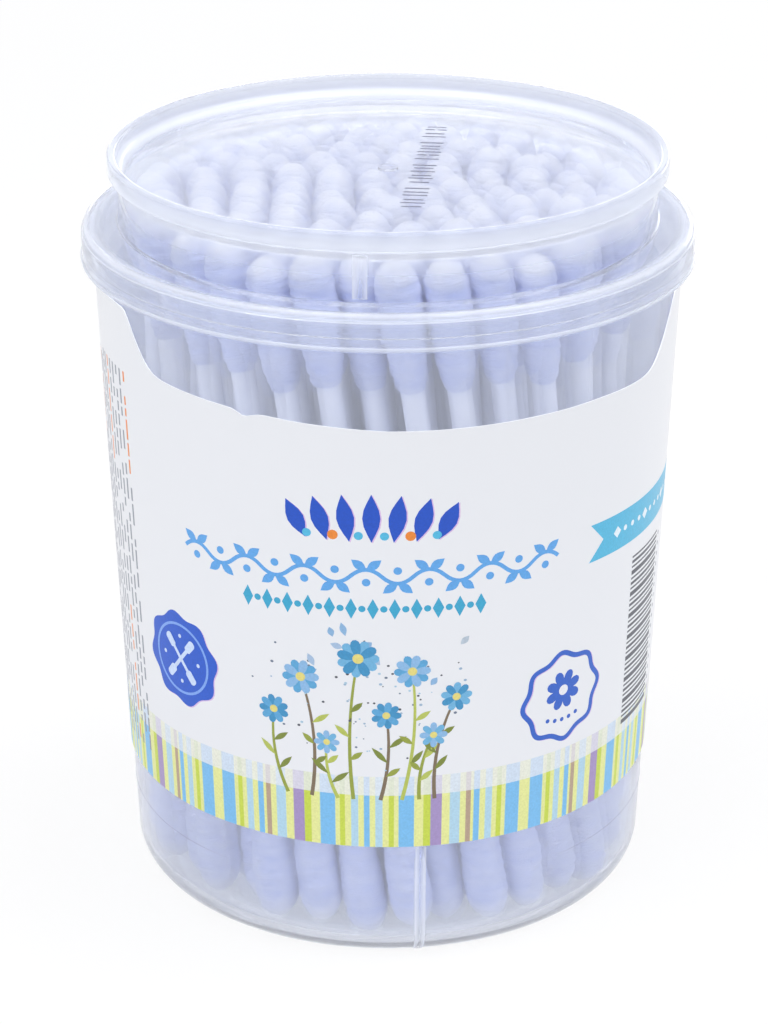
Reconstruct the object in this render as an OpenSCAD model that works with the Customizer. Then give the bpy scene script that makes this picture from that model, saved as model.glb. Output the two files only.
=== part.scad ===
// Round tub of cotton swabs with a press-on lid.
// Millimetres. +Z is up, the front looks along -Y, and the origin is the centre of the base.
// Azimuths are in degrees from the front, positive towards +X.

/* [Swabs] */
// Length of a swab over both buds
swab_l = 75; // [66:0.5:90]
// Widest diameter of a cotton bud
bud_d = 4.5; // [4:0.1:5.4]
// Length of a cotton bud
bud_l = 14; // [11:0.5:18]
// Length of the rounded nose of a bud
nose_l = 3.2; // [2:0.1:4]
// Diameter of a bud just before it closes in on its stick
bud_heel_d = 3.5; // [3:0.1:4]
// Diameter of a stick
stick_d = 2.4; // [1.8:0.1:2.6]
// Length of stick held inside each bud
stick_grip = 10.6; // [6:0.1:10.8]
// Smallest gap aimed at between two buds
bud_gap = 0.3; // [0.2:0.05:1]
// Share of the floor that the buds cover, which sets how many swabs there are
packing = 0.785; // [0.4:0.005:0.79]
// How far the whole bundle twists from floor to lid
twist = 22; // [0:1:26]
// Random lean added to the twist, at the upper buds
lean = 0.9; // [0:0.1:1.4]

/* [Tub] */
// Outer radius of the wall, carried down to the base
base_r = 27.77; // [24:0.01:34]
// Growth of that radius for each millimetre of height
draft = 0.0394; // [0.01:0.0001:0.06]
// Thickness of the wall
wall_t = 0.8; // [0.6:0.05:1.2]
// Height of the floor's upper face
floor_z = 1.4; // [1.1:0.05:2.5]
// Depth of the recess under the floor
foot_recess = 0.6; // [0.2:0.05:0.7]
// Width of the ring that the tub stands on
foot_w = 1.6; // [1:0.1:4]
// Outer radius of the bottom corner
corner_r = 3.8; // [2:0.1:4.5]
// How far closed swabs stand above the tub's rim
swab_proud = 3.9; // [2:0.1:8]
// Height of the bead round the rim
rim_bead_h = 1.3; // [0.8:0.1:2]
// How far that bead stands out of the wall
rim_bead = 0.3; // [0.15:0.05:0.5]
// Width of a rib on the foot of the wall
foot_rib_w = 1.1; // [0.6:0.1:2]
// How far such a rib stands out of the wall
foot_rib = 0.25; // [0.1:0.05:0.4]
// Azimuth of the first foot rib
foot_rib_az = 6.8; // [-60:0.1:60]
// Height of the fine groove round the foot of the wall
witness_z = 9.4; // [6:0.1:12]

/* [Lid] */
// Thickness of the lid
lid_t = 0.8; // [0.6:0.05:1.2]
// Free height between the longest upright swab and the lid
headroom = 0.9; // [0.6:0.1:3]
// Height of the stacking rim above the lid's panel
stack_rim = 2.4; // [1.4:0.1:5]
// Height of the outer face of the stacking rim
stack_band = 2; // [1:0.1:3]
// How far the stacking rim overhangs the neck
overhang = 1; // [0.7:0.05:1.6]
// Depth of the skirt below the lid's ledge
skirt_h = 3.9; // [3.4:0.1:9]
// Radius of the shoulder between ledge and skirt
shoulder_r = 0.85; // [0.4:0.05:1.2]
// Outward step at the foot of the shoulder
shoulder_step = 0.12; // [0.05:0.01:0.25]
// How far the snap bead stands into the skirt
snap = 0.24; // [0.1:0.01:0.4]
// Radial gap between the snap bead and the tub's rim
snap_gap = 0.06; // [0.03:0.01:0.3]
// Width of a rib on the lid's neck
neck_rib_w = 1.5; // [0.8:0.1:3]
// How far such a rib stands out of the neck
neck_rib = 0.25; // [0.1:0.05:0.5]
// Azimuth of the first neck rib
neck_rib_az = -5.6; // [-60:0.1:60]
// Diameter of the gate marks on the panel and under the floor
gate_d = 2.2; // [1:0.1:4]

/* [Label] */
// Thickness of the film
label_t = 0.12; // [0.06:0.01:0.3]
// Height of its lower edge
label_z = 14.1; // [11:0.1:24]
// Distance of its upper edge below the tub's rim
label_drop = 4.3; // [4.2:0.1:10]
// Distance of the window's lower edge below the tub's rim
window_drop = 11.5; // [10.5:0.1:30]
// Azimuth of the window's left end
window_left = -52.5; // [-75:0.5:-20]
// Azimuth of the window's right end
window_right = 62.5; // [20:0.5:75]
// Rounding of the window's lower corners
window_r = 3; // [1:0.5:5]
// Angle from upright at which the window's ends lean outwards
window_lean = 21; // [0:1:30]
// Gap between the film's two ends at the back
seam_gap = 0.5; // [0.2:0.1:3]

/* [Hidden] */
$fn = 64;
rows = 6;                 // groups of swabs, from the middle outwards
part_gap = 0.05;          // between pieces that rest on each other
bore_gap = 0.02;          // round a stick in its bud
film_gap = 0.03;          // between film and wall
ribs = 3;                 // ribs round the foot and round the neck
wide_z = 4.5;             // where a bud is widest, from its tip
golden = 137.508;         // turn from one swab to the next in a sunflower layout
seed = 11;
small_r = 0.3;            // rounding of free edges
snap_z = 1.1;             // middle of the snap bead above the skirt's edge
groove = 0.08;            // depth of the fine groove
gate_h = 0.25;            // height of the gate marks

bud_r = bud_d / 2;
pitch = bud_d + bud_gap;
side_gap = bud_gap * 0.8;
tub_h = floor_z + swab_l - swab_proud;
function wall_r(z) = base_r + draft * z;
pack_r = wall_r(floor_z + wide_z) - wall_t - bud_r - side_gap;
swabs = floor(packing * pow((pack_r + pitch / 2) / (pitch / 2), 2));

rim_r = wall_r(tub_h) + rim_bead;
neck_r = pack_r + bud_r + side_gap + lid_t;
skirt_r = rim_r + snap_gap + snap + lid_t;
ledge_z = tub_h + part_gap + lid_t;
panel_z = floor_z + swab_l + headroom + lid_t;
top_z = panel_z + stack_rim;
label_top = tub_h - label_drop;
window_z = tub_h - window_drop;

// Points on an arc round c, from angle a0 to a1
function arc(c, r, a0, a1, n = 6) = [for (i = [0:n]) let(a = a0 + (a1 - a0) * i / n) c + r * [cos(a), sin(a)]];

// The swabs start as a sunflower, push each other apart until they are a pitch away, and stay in the tub
function total(v) = len(v) == 0 ? [0, 0] : [for (k = v) 1] * v;
function held(p, r) = norm(p) > r ? p * (r / norm(p)) : p;
function near(p, reach) =
    [for (i = [0:len(p) - 1]) [for (j = [0:len(p) - 1]) if (i != j && norm(p[i] - p[j]) < reach) j]];
function push(a, b) = let(v = a - b, g = norm(v)) g < pitch ? v * (0.5 * (pitch - g) / max(g, 0.01)) : [0, 0];
function shove(p, close) =
    [for (i = [0:len(p) - 1]) held(p[i] + 0.9 * total([for (j = close[i]) push(p[i], p[j])]), pack_r)];
function relax(p, close, n) = n == 0 ? p : relax(shove(p, close), close, n - 1);
function settle(p, rounds) = rounds == 0 ? p : settle(relax(p, near(p, 1.5 * pitch), 25), rounds - 1);
function turned(p, a) = [p.x * cos(a) - p.y * sin(a), p.x * sin(a) + p.y * cos(a)];

sunflower = [for (i = [0:swabs - 1]) turned([pack_r * sqrt((i + 0.5) / swabs), 0], golden * i)];
chance = rands(-1, 1, 3 * swabs, seed);
feet = settle(sunflower, 8);
heads = settle([for (i = [0:swabs - 1])
    turned(feet[i], -twist) + lean * [chance[3 * i], chance[3 * i + 1]]], 6);

// A swab is a line through the widest places of its two buds: its direction and its lower tip
span = swab_l - 2 * wide_z;
function direction(i) = let(d = heads[i] - feet[i]) [d.x, d.y, sqrt(span * span - d * d)] / span;
function foot_of(i) = let(u = direction(i), spare = swab_l * (1 - u.z) + headroom - 4 * part_gap,
    lift = 2 * part_gap + spare * (0.5 + 0.5 * chance[3 * i + 2]))
    [feet[i].x - wide_z * u.x, feet[i].y - wide_z * u.y, floor_z + lift];
function row_of(i) = 1 + floor(rows * sqrt((i + 0.5) / swabs));

module along_swab(i) {
    u = direction(i);
    translate(foot_of(i)) rotate([0, acos(u.z), atan2(u.y, u.x)]) children();
}

// One bud with its tip at the origin, wound round the stick's end
module bud() {
    heel_r = bud_heel_d / 2;
    bore_r = stick_d / 2 + bore_gap;
    bore_z = bud_l - stick_grip - part_gap;
    nose = [for (a = [-90:18:0]) [bud_r * cos(a), nose_l * (1 + sin(a))]];
    color([0.76, 0.80, 0.96]) rotate_extrude() polygon(concat(nose, [
        [bud_r, wide_z + 0.8],
        [(bud_r + heel_r) / 2 + 0.08, bud_l * 0.66],
        [heel_r, bud_l - 1.6],
        [heel_r * 0.86, bud_l - 0.6],
        [bore_r + 0.12, bud_l],
        [bore_r, bud_l],
        [bore_r, bore_z],
        [0, bore_z]]));
}

module sticks(row) {
    from_tip = bud_l - stick_grip;
    color([0.92, 0.93, 0.96]) for (i = [0:swabs - 1]) if (row_of(i) == row)
        along_swab(i) translate([0, 0, from_tip]) cylinder(r = stick_d / 2, h = swab_l - 2 * from_tip);
}

module lower_buds(row) {
    for (i = [0:swabs - 1]) if (row_of(i) == row) along_swab(i) bud();
}

module upper_buds(row) {
    for (i = [0:swabs - 1]) if (row_of(i) == row)
        along_swab(i) translate([0, 0, swab_l]) rotate([180, 0, 0]) bud();
}

// An upright rib of width w at an azimuth, cut from a ring that its children make
module rib_of(azimuth, w, z0, z1) {
    intersection() {
        children();
        rotate([0, 0, azimuth - 90]) translate([0, -w / 2, z0]) cube([2 * skirt_r, w, z1 - z0]);
    }
}

module tub() {
    inner_r = corner_r - wall_t - 0.3;
    foot_r = wall_r(0) + draft * corner_r - corner_r;
    inside = wall_r(floor_z + inner_r) - wall_t;
    rim_top = wall_r(tub_h);
    bead_foot = tub_h - rim_bead_h;
    color([0.85, 0.87, 0.93, 0.5]) {
        rotate_extrude($fn = 180) polygon(concat(
            [[0, foot_recess - gate_h], [gate_d / 2, foot_recess - gate_h], [gate_d / 2, foot_recess],
             [foot_r - foot_w - foot_recess, foot_recess], [foot_r - foot_w, 0]],
            arc([foot_r, corner_r], corner_r, -90, 0, 8),
            [[wall_r(witness_z), witness_z],
             [wall_r(witness_z) - groove, witness_z + groove],
             [wall_r(witness_z + 2 * groove), witness_z + 2 * groove],
             [wall_r(bead_foot - rim_bead), bead_foot - rim_bead],
             [rim_r, bead_foot]],
            arc([rim_r - small_r, tub_h - small_r], small_r, 0, 90, 3),
            arc([rim_top - wall_t + small_r, tub_h - small_r], small_r, 90, 180, 3),
            [[wall_r(bead_foot) - wall_t, bead_foot]],
            arc([inside - inner_r, floor_z + inner_r], inner_r, 0, -90, 6),
            [[0, floor_z]]));
        for (k = [0:ribs - 1]) rib_of(foot_rib_az + k * 360 / ribs, foot_rib_w, foot_recess, label_z - 0.5)
            rotate_extrude($fn = 180) polygon(concat(
                arc([foot_r, corner_r], corner_r + foot_rib, -60, 0, 5),
                [[wall_r(label_z) + foot_rib, label_z], [wall_r(label_z) - wall_t / 2, label_z]],
                arc([foot_r, corner_r], corner_r - wall_t / 2, 0, -60, 5)));
    }
}

module lid() {
    band_r = neck_r + overhang;
    band_z = top_z - stack_band;
    bend_r = overhang / 2;
    tray_r = band_r - lid_t - 0.1;
    tray_bend = stack_rim / 2;
    neck_in = neck_r - lid_t;
    under_z = panel_z - lid_t;
    skirt_in = skirt_r - lid_t;
    edge_z = ledge_z - skirt_h;
    bead_z = edge_z + snap_z;
    color([0.86, 0.88, 0.94, 0.5]) {
        rotate_extrude($fn = 180) polygon(concat(
            [[0, panel_z + gate_h], [gate_d / 2, panel_z + gate_h], [gate_d / 2, panel_z]],
            arc([tray_r - tray_bend, panel_z + tray_bend], tray_bend, -90, 0, 5),
            arc([tray_r + small_r, top_z - small_r], small_r, 180, 90, 3),
            arc([band_r - small_r, top_z - small_r], small_r, 90, 0, 3),
            arc([band_r - small_r, band_z + small_r], small_r, 0, -90, 3),
            arc([neck_r + bend_r, band_z - bend_r], bend_r, 90, 180, 4),
            arc([neck_r + small_r, ledge_z + small_r], small_r, 180, 270, 3),
            arc([skirt_r - shoulder_step - shoulder_r, ledge_z - shoulder_r], shoulder_r, 90, 0, 5),
            [[skirt_r, ledge_z - shoulder_r - shoulder_step]],
            arc([skirt_r - small_r, edge_z + small_r], small_r, 0, -90, 2),
            [[skirt_in, edge_z], [skirt_in, bead_z - snap]],
            [[skirt_in - snap, bead_z], [skirt_in, bead_z + snap]],
            arc([skirt_in - small_r, ledge_z - lid_t - small_r], small_r, 0, 90, 2),
            arc([neck_in + small_r, ledge_z - lid_t - small_r], small_r, 90, 180, 2),
            arc([neck_in - small_r, under_z - small_r], small_r, 0, 90, 2),
            [[0, under_z]]));
        for (k = [0:ribs - 1]) rib_of(neck_rib_az + k * 360 / ribs, neck_rib_w, ledge_z, band_z - bend_r)
            rotate_extrude($fn = 180) translate([neck_r - lid_t / 2, ledge_z])
                square([neck_rib + lid_t / 2, band_z - bend_r - ledge_z]);
    }
}

module label() {
    inner = film_gap;
    outer = film_gap + label_t;
    left_x = wall_r(window_z) * sin(window_left);
    right_x = wall_r(window_z) * sin(window_right);
    above = label_top + 1;
    out = (above - window_z) * tan(window_lean);
    color([0.91, 0.92, 0.94]) difference() {
        rotate_extrude($fn = 180) polygon([
            [wall_r(label_z) + inner, label_z], [wall_r(label_z) + outer, label_z],
            [wall_r(label_top) + outer, label_top], [wall_r(label_top) + inner, label_top]]);
        rotate([90, 0, 0]) linear_extrude(height = 2 * skirt_r) polygon(concat(
            arc([right_x - window_r, window_z + window_r], window_r, -90, -window_lean, 6),
            [[right_x + out, above], [left_x - out, above]],
            arc([left_x + window_r, window_z + window_r], window_r, 180 + window_lean, 270, 6)));
        translate([-seam_gap / 2, 0, label_z - 1]) cube([seam_gap, 2 * skirt_r, label_top - label_z + 2]);
    }
}

tub();
lid();
label();
for (row = [1:rows]) {
    sticks(row);
    upper_buds(row);
    lower_buds(row);
}
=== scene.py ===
import math
import random
import bpy
from mathutils import Matrix, Vector, noise


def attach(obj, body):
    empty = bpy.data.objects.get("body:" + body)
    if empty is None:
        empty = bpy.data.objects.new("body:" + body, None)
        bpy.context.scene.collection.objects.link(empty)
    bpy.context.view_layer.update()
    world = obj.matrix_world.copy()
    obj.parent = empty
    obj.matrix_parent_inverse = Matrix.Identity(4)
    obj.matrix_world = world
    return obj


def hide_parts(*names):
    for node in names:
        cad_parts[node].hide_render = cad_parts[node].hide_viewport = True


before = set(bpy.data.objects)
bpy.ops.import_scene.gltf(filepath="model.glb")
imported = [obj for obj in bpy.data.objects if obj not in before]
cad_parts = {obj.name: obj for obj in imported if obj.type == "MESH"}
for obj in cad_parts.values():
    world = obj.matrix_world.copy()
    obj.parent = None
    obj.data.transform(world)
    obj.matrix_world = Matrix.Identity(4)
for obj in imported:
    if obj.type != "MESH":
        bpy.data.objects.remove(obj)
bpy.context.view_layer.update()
print("frame loaded")

mm = 0.001     # in metres
view = bpy.context.scene.view_settings
view.view_transform = "Standard"


# Small helpers

def linearColor(hexText):
    parts = [int(hexText[i:i + 2], 16) / 255 for i in (1, 3, 5)]
    return [c / 12.92 if c <= 0.04045 else ((c + 0.055) / 1.055) ** 2.4 for c in parts] + [1.0]


# An input's value is a number, a colour, an output or a node, whose first output is then used
def addNode(tree, kind, settings=None, inputs=None):
    node = tree.nodes.new("ShaderNode" + kind)
    for name, value in (settings or {}).items():
        setattr(node, name, value)
    for name, value in (inputs or {}).items():
        if isinstance(value, bpy.types.Node):
            value = value.outputs[0]
        if isinstance(value, bpy.types.NodeSocket):
            tree.links.new(value, node.inputs[name])
        else:
            node.inputs[name].default_value = value
    return node


def newMaterial(name):
    material = bpy.data.materials.new(name)
    material.use_nodes = True
    tree = material.node_tree
    tree.nodes.clear()
    return material, tree


def setMode(mode):
    bpy.ops.object.mode_set(mode=mode)


def deselectAll():
    if bpy.context.object and bpy.context.object.mode != "OBJECT":
        setMode("OBJECT")
    bpy.ops.object.select_all(action="DESELECT")


def selectOnly(*pieces):
    deselectAll()
    for piece in pieces:
        piece.select_set(True)
    bpy.context.view_layer.objects.active = pieces[0]


def arcPoints(centre, radius, start, end, count):
    angles = [math.radians(start + (end - start) * i / count) for i in range(count + 1)]
    return [(centre[0] + radius * math.cos(a), centre[1] + radius * math.sin(a)) for a in angles]


def smoothFaces(piece, angle=30):
    selectOnly(piece)
    bpy.ops.object.shade_smooth_by_angle(angle=math.radians(angle))


# Gives a sheet its thickness in mm, outwards
def thicken(sheet, thick):
    selectOnly(sheet)
    bpy.ops.object.modifier_add(type="SOLIDIFY")
    sheet.modifiers["Solidify"].thickness = thick * mm
    sheet.modifiers["Solidify"].offset = 1
    bpy.ops.object.modifier_apply(modifier="Solidify")


def joinPieces(pieces, name):
    selectOnly(*pieces)
    bpy.ops.object.join()
    whole = bpy.context.object
    whole.name = name
    return whole


def removePieces(pieces):
    selectOnly(*pieces)
    bpy.ops.object.delete()


# Camera: fitted to the ellipses of the lid, the label and the base, in mm and degrees
shot = {"distance": 312.33, "height": 172.98, "aside": -0.43, "pitch": 23.143, "lens": 110.27}


def makeCamera():
    deselectAll()
    place = Vector((shot["aside"], -shot["distance"], shot["height"])) * mm
    turn = (math.radians(90 - shot["pitch"]), 0, 0)
    bpy.ops.object.camera_add(location=place, rotation=turn)
    camera = bpy.context.object
    camera.data.lens = shot["lens"]
    camera.data.sensor_width = 36
    camera.data.clip_start = 0.01      # metres
    bpy.context.scene.camera = camera


# Studio: a white room of soft light
studio = {
    "worldLight": 0.46, "worldColour": "#F2F5FF",
    "white": "#FFFFFF", "paper": "#FDFDFD",
    "floorSize": 6.0,            # metres
    "floorKeep": 0.15,           # how much of the floor's own shading the camera sees near the tub
    "floorFade": (0.2, 0.9),     # metres from the tub between which that shading fades out
    "aim": (0, 0, 0.04),         # where the lamps point, in metres
    # place in metres, size in metres, power in watts
    "lamps": {
        "key": {"at": (-0.45, -0.55, 0.62), "size": (0.45, 0.45), "power": 1.9},
        "fill": {"at": (0.6, -0.45, 0.35), "size": (0.5, 0.6), "power": 0.9},
        "topLeft": {"at": (-0.16, -0.05, 0.62), "size": (0.12, 0.3), "power": 1.1},
        "topRight": {"at": (0.2, 0.0, 0.6), "size": (0.22, 0.3), "power": 1.4},
        "back": {"at": (0.15, 0.7, 0.12), "size": (0.8, 0.2), "power": 1.4},
    },
}


# 1 for a ray that shows the room: straight from the camera, through plastic or by gloss
def seenRay(tree):
    path = addNode(tree, "LightPath")
    straight = addNode(tree, "Math", {"operation": "MAXIMUM"},
                       {0: path.outputs["Is Camera Ray"], 1: path.outputs["Is Transmission Ray"]})
    return addNode(tree, "Math", {"operation": "MAXIMUM"}, {0: straight, 1: path.outputs["Is Glossy Ray"]})


def makeStudio():
    world = bpy.data.worlds.new("studio")
    bpy.context.scene.world = world
    world.use_nodes = True
    tree = world.node_tree
    tree.nodes.clear()
    seen = seenRay(tree)
    strength = addNode(tree, "MapRange", None,
                       {"Value": seen, "To Min": studio["worldLight"], "To Max": 1.0})
    colour = addNode(tree, "Mix", {"data_type": "RGBA"},
                     {"Factor": seen, "A": linearColor(studio["worldColour"]),
                      "B": linearColor(studio["white"])})
    light = addNode(tree, "Background", None, {"Color": colour.outputs["Result"], "Strength": strength})
    addNode(tree, "OutputWorld", None, {"Surface": light})

    deselectAll()
    bpy.ops.mesh.primitive_plane_add(size=studio["floorSize"])
    floor = bpy.context.object
    floor.name = "floor"
    material, tree = newMaterial("white paper sweep")
    paper = addNode(tree, "BsdfDiffuse", None, {"Color": linearColor(studio["paper"])})
    glow = addNode(tree, "Emission", None, {"Color": linearColor(studio["white"]), "Strength": 1.0})
    seen = seenRay(tree)
    place = addNode(tree, "TexCoord")
    away = addNode(tree, "VectorMath", {"operation": "LENGTH"}, {0: place.outputs["Object"]})
    near, far = studio["floorFade"]
    shown = addNode(tree, "MapRange", {"interpolation_type": "SMOOTHSTEP"},
                    {"Value": away.outputs["Value"], "From Min": near, "From Max": far,
                     "To Min": 1 - studio["floorKeep"], "To Max": 1.0})
    share = addNode(tree, "Math", {"operation": "MULTIPLY"}, {0: seen, 1: shown})
    mixed = addNode(tree, "MixShader", None, {0: share, 1: paper, 2: glow})
    addNode(tree, "OutputMaterial", None, {"Surface": mixed})
    floor.data.materials.append(material)

    middle = Vector(studio["aim"])
    for name, lamp in studio["lamps"].items():
        deselectAll()
        place = Vector(lamp["at"])
        turn = (middle - place).to_track_quat("-Z", "Y").to_euler()
        bpy.ops.object.light_add(type="AREA", location=place, rotation=turn)
        light = bpy.context.object
        light.name = name
        light.data.shape = "RECTANGLE"
        light.data.size, light.data.size_y = lamp["size"]
        light.data.energy = lamp["power"]


# Opacity: seen for the camera, share for the light that falls through the piece on what is behind it
def stoppedLight(tree, seen, share):
    path = addNode(tree, "LightPath")
    falling = addNode(tree, "Math", {"operation": "MAXIMUM"},
                      {0: path.outputs["Is Shadow Ray"], 1: path.outputs["Is Diffuse Ray"]})
    return addNode(tree, "MapRange", None, {"Value": falling, "To Min": seen, "To Max": share})


# Milky polypropylene, injection moulded: clear in a thin wall, whiter at thick edges, with a soft gloss
plasticLook = {
    "colour": "#E9EDF7", "roughness": 0.05,
    "ior": 1.28,                             # under the real 1.49, so that thin walls have no dark edges
    "clearFace": 0.92, "clearSide": 0.84,    # how clear it is, seen square on and along the surface
    "clearThick": 0.15,                      # what is left of that where it is thick
    "seen": 0.8, "stops": 0.03,
}


def milkyPolypropylene():
    look = plasticLook
    material, tree = newMaterial("milky polypropylene")
    edge = addNode(tree, "LayerWeight", None, {"Blend": 0.5})
    clear = addNode(tree, "MapRange", None,
                    {"Value": edge.outputs["Facing"],
                     "To Min": look["clearFace"], "To Max": look["clearSide"]})
    thick = addNode(tree, "Attribute", {"attribute_name": "thick"})
    veil = addNode(tree, "MapRange", None,
                   {"Value": thick.outputs["Fac"], "To Min": 1.0, "To Max": look["clearThick"]})
    passed = addNode(tree, "Math", {"operation": "MULTIPLY"}, {0: clear, 1: veil})
    alpha = stoppedLight(tree, look["seen"], look["stops"])
    plastic = addNode(tree, "BsdfPrincipled", None, {
        "Base Color": linearColor(look["colour"]),
        "Roughness": look["roughness"],
        "IOR": look["ior"],
        "Transmission Weight": passed,
        "Alpha": alpha,
    })
    addNode(tree, "OutputMaterial", None, {"Surface": plastic})
    return material


# White polypropylene, extruded: smooth, with a soft gloss and faint clouds 3 mm long
stickLook = {"dark": "#DDE3F8", "light": "#EEF1FC", "clouds": 350.0, "roughness": 0.38, "ior": 1.49}


def extrudedStick():
    look = stickLook
    material, tree = newMaterial("extruded white polypropylene")
    place = addNode(tree, "TexCoord")
    cloud = addNode(tree, "TexNoise", None,
                    {"Vector": place.outputs["Object"], "Scale": look["clouds"], "Detail": 2.0})
    tint = addNode(tree, "Mix", {"data_type": "RGBA"},
                   {"Factor": cloud, "A": linearColor(look["dark"]), "B": linearColor(look["light"])})
    plastic = addNode(tree, "BsdfPrincipled", None, {
        "Base Color": tint.outputs["Result"], "Roughness": look["roughness"], "IOR": look["ior"]})
    addNode(tree, "OutputMaterial", None, {"Surface": plastic})
    return material


# Dyed cotton wool, wound on the stick: matt and softly fibrous, with a painted highlight that makes the tip
# and the crest of each turn paler, and painted shade that makes the low places between the turns bluer
cottonLook = {
    "dyed": "#ABBCFD", "pale": "#F4F6FF", "sheen": "#E8ECFF",
    "tip": (0.05, 0.3),          # shares of the bud's length between which the tip's painted highlight ends
    "body": 0.44,                # how pale the rest is, below the tip's painted highlight
    "crest": 1.15, "valley": 0.5,    # how pale the turns are painted: a painted highlight on their crest, painted shade at their lowest
    "tufts": 420.0,              # patches of 2.4 mm
    "fibres": (3.0, 26.0, 1.0),  # 0.3 mm across, coarser than real fibres, so that they show
    "bump": 0.0006,
}


def woundCotton():
    look = cottonLook
    material, tree = newMaterial("wound dyed cotton")
    uv = addNode(tree, "UVMap", {"uv_map": "UVMap"})
    place = addNode(tree, "TexCoord")
    split = addNode(tree, "SeparateXYZ", None, {"Vector": uv})
    # Painted highlight: the tip is palest, as if lit from above, and fades down the bud to the body's
    # paleness
    tip = addNode(tree, "MapRange", {"interpolation_type": "SMOOTHSTEP"},
                  {"Value": split.outputs["Y"], "From Min": look["tip"][0], "From Max": look["tip"][1],
                   "To Min": 1.0, "To Max": look["body"]})
    patch = addNode(tree, "TexNoise", None,
                    {"Vector": place.outputs["Object"], "Scale": look["tufts"],
                     "Detail": 3.0, "Roughness": 0.6})
    fluff = addNode(tree, "MapRange", None,
                    {"Value": patch, "From Min": 0.3, "From Max": 0.7, "To Min": 0.65, "To Max": 1.0})
    # Painted highlight on the crest of each turn and painted shade in the low place between two turns
    wound = addNode(tree, "Attribute", {"attribute_name": "valley"})
    crestHighlightValleyShade = addNode(tree, "MapRange", None,
                    {"Value": wound.outputs["Fac"], "To Min": look["crest"], "To Max": look["valley"]})
    turns = addNode(tree, "Math", {"operation": "MULTIPLY"}, {0: crestHighlightValleyShade, 1: tip})
    # The tufts' random tone times the painted highlight and shade
    pale = addNode(tree, "Math", {"operation": "MULTIPLY"}, {0: fluff, 1: turns})
    tint = addNode(tree, "Mix", {"data_type": "RGBA"},
                   {"Factor": pale, "A": linearColor(look["dyed"]), "B": linearColor(look["pale"])})
    across = addNode(tree, "Mapping", None, {"Vector": uv, "Scale": look["fibres"]})
    fibres = addNode(tree, "TexNoise", None,
                     {"Vector": across, "Scale": 2.0, "Detail": 4.0, "Roughness": 0.65})
    relief = addNode(tree, "Bump", None, {"Height": fibres, "Strength": 0.8, "Distance": look["bump"]})
    cotton = addNode(tree, "BsdfPrincipled", None, {
        "Base Color": tint.outputs["Result"],
        "Roughness": 0.95,
        "Specular IOR Level": 0.2,
        "Sheen Weight": 0.25,
        "Sheen Roughness": 0.5,
        "Sheen Tint": linearColor(look["sheen"]),
        "Normal": relief,
    })
    addNode(tree, "OutputMaterial", None, {"Surface": cotton})
    return material


# White polypropylene film: smooth and softly glossy, in slow waves of 17 mm; light comes through it
filmLook = {"colour": "#EDEEF0", "waves": 60.0, "roughness": 0.33, "ior": 1.49, "stops": 0.06}


def whiteFilm():
    look = filmLook
    material, tree = newMaterial("white label film")
    place = addNode(tree, "TexCoord")
    wave = addNode(tree, "TexNoise", None,
                   {"Vector": place.outputs["Object"], "Scale": look["waves"], "Detail": 1.0})
    relief = addNode(tree, "Bump", None, {"Height": wave, "Strength": 0.15, "Distance": 0.0004})
    alpha = stoppedLight(tree, 1.0, look["stops"])
    film = addNode(tree, "BsdfPrincipled", None, {
        "Base Color": linearColor(look["colour"]), "Roughness": look["roughness"], "IOR": look["ior"],
        "Alpha": alpha, "Normal": relief})
    addNode(tree, "OutputMaterial", None, {"Surface": film})
    return material


# Offset ink on the film: the film's gloss, its colour in the attribute ink, and a grain of 0.2 mm
inkGrain = 4500.0


def printedInk():
    material, tree = newMaterial("offset ink on film")
    ink = addNode(tree, "Attribute", {"attribute_name": "ink"})
    place = addNode(tree, "TexCoord")
    dots = addNode(tree, "TexNoise", None,
                   {"Vector": place.outputs["Object"], "Scale": inkGrain, "Detail": 1.0})
    grain = addNode(tree, "MapRange", None,
                    {"Value": dots, "From Min": 0.3, "From Max": 0.7, "To Min": 0.93, "To Max": 1.05})
    colour = addNode(tree, "VectorMath", {"operation": "SCALE"}, {0: ink.outputs["Color"], "Scale": grain})
    alpha = stoppedLight(tree, 1.0, filmLook["stops"])
    gloss = addNode(tree, "BsdfPrincipled", None, {
        "Base Color": colour, "Roughness": filmLook["roughness"], "IOR": filmLook["ior"],
        "Alpha": alpha})
    addNode(tree, "OutputMaterial", None, {"Surface": gloss})
    return material


# Turns an outline of (radius, height) points in mm, which starts and ends on the upright axis
def turnedPiece(name, outline, steps, firstAzimuth):
    deselectAll()
    bpy.ops.mesh.primitive_plane_add(size=mm)
    piece = bpy.context.object
    piece.name = name
    setMode("EDIT")
    bpy.ops.mesh.select_mode(type="VERT")
    bpy.ops.mesh.select_all(action="SELECT")
    bpy.ops.mesh.merge(type="CENTER")
    turn = Matrix.Rotation(math.radians(firstAzimuth - 90), 3, "Z")
    last = Vector((0, 0, 0))
    for index, (radius, height) in enumerate(outline):
        place = turn @ Vector((radius, 0, height)) * mm
        if index == 0:
            bpy.ops.transform.translate(value=place)
        else:
            bpy.ops.mesh.extrude_region_move(TRANSFORM_OT_translate={"value": place - last})
        last = place
    bpy.ops.mesh.select_all(action="SELECT")
    bpy.ops.mesh.spin(steps=steps, angle=2 * math.pi, center=(0, 0, 0), axis=(0, 0, 1))
    bpy.ops.mesh.select_all(action="SELECT")
    bpy.ops.mesh.remove_doubles(threshold=0.002 * mm)     # the seam and the two poles
    bpy.ops.mesh.normals_make_consistent(inside=False)
    setMode("OBJECT")
    return piece


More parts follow.
